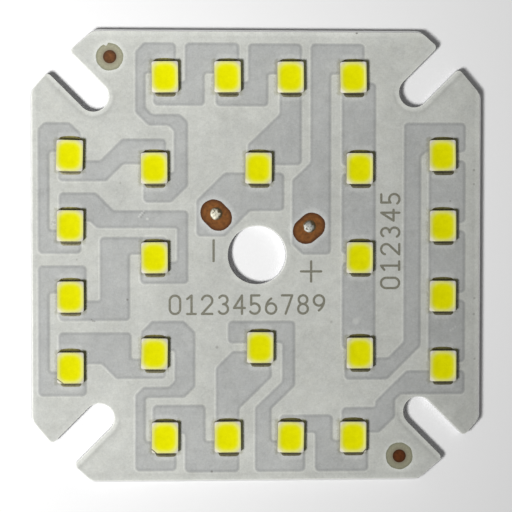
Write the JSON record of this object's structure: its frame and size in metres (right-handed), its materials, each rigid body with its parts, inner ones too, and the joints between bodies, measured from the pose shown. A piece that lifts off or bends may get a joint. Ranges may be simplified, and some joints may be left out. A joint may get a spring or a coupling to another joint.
{
  "type": "led module board",
  "caption": "Square white lighting board with rows of surface-mount LEDs wired in series, a central wire hole and an open screw slot at each corner.",
  "frame": {"origin": "centre of the bore on the back face", "axes": "+Z out of the lit side, +X to the right of the artwork, +Y to its top, where the wire pads are above the rows of figures"},
  "size_m": [0.048, 0.048, 0.0019],
  "materials": {
    "aluminium": "rolled, satin",
    "insulation": "matte",
    "copper": "tarnished",
    "solder_mask": "satin white",
    "ink": "matte",
    "led_plastic": "matte white",
    "phosphor": "silky silicone",
    "solder": "satin",
    "plated_lead": "bright plating",
    "die": "polished"
  },
  "bodies": {
    "root": {"base_plate": "aluminium", "insulating_layer": "insulation", "copper_tracks": "copper", "fiducial_dots": "copper", "solder_mask": "solder_mask", "legend_ink": "ink", "led_terminals": "plated_lead", "led_dies": "die", "led_solder": "solder", "plus_wire_solder": "solder", "minus_wire_solder": "solder", "led_01_housing": "led_plastic", "led_02_housing": "led_plastic", "led_03_housing": "led_plastic", "led_04_housing": "led_plastic", "led_05_housing": "led_plastic", "led_06_housing": "led_plastic", "led_07_housing": "led_plastic", "led_08_housing": "led_plastic", "led_09_housing": "led_plastic", "led_10_housing": "led_plastic", "led_11_housing": "led_plastic", "led_12_housing": "led_plastic", "led_13_housing": "led_plastic", "led_14_housing": "led_plastic", "led_15_housing": "led_plastic", "led_16_housing": "led_plastic", "led_17_housing": "led_plastic", "led_18_housing": "led_plastic", "led_19_housing": "led_plastic", "led_20_housing": "led_plastic", "led_21_housing": "led_plastic", "led_22_housing": "led_plastic", "led_23_housing": "led_plastic", "led_24_housing": "led_plastic", "led_01_phosphor": "phosphor", "led_02_phosphor": "phosphor", "led_03_phosphor": "phosphor", "led_04_phosphor": "phosphor", "led_05_phosphor": "phosphor", "led_06_phosphor": "phosphor", "led_07_phosphor": "phosphor", "led_08_phosphor": "phosphor", "led_09_phosphor": "phosphor", "led_10_phosphor": "phosphor", "led_11_phosphor": "phosphor", "led_12_phosphor": "phosphor", "led_13_phosphor": "phosphor", "led_14_phosphor": "phosphor", "led_15_phosphor": "phosphor", "led_16_phosphor": "phosphor", "led_17_phosphor": "phosphor", "led_18_phosphor": "phosphor", "led_19_phosphor": "phosphor", "led_20_phosphor": "phosphor", "led_21_phosphor": "phosphor", "led_22_phosphor": "phosphor", "led_23_phosphor": "phosphor", "led_24_phosphor": "phosphor"}
  },
  "joints": []
}
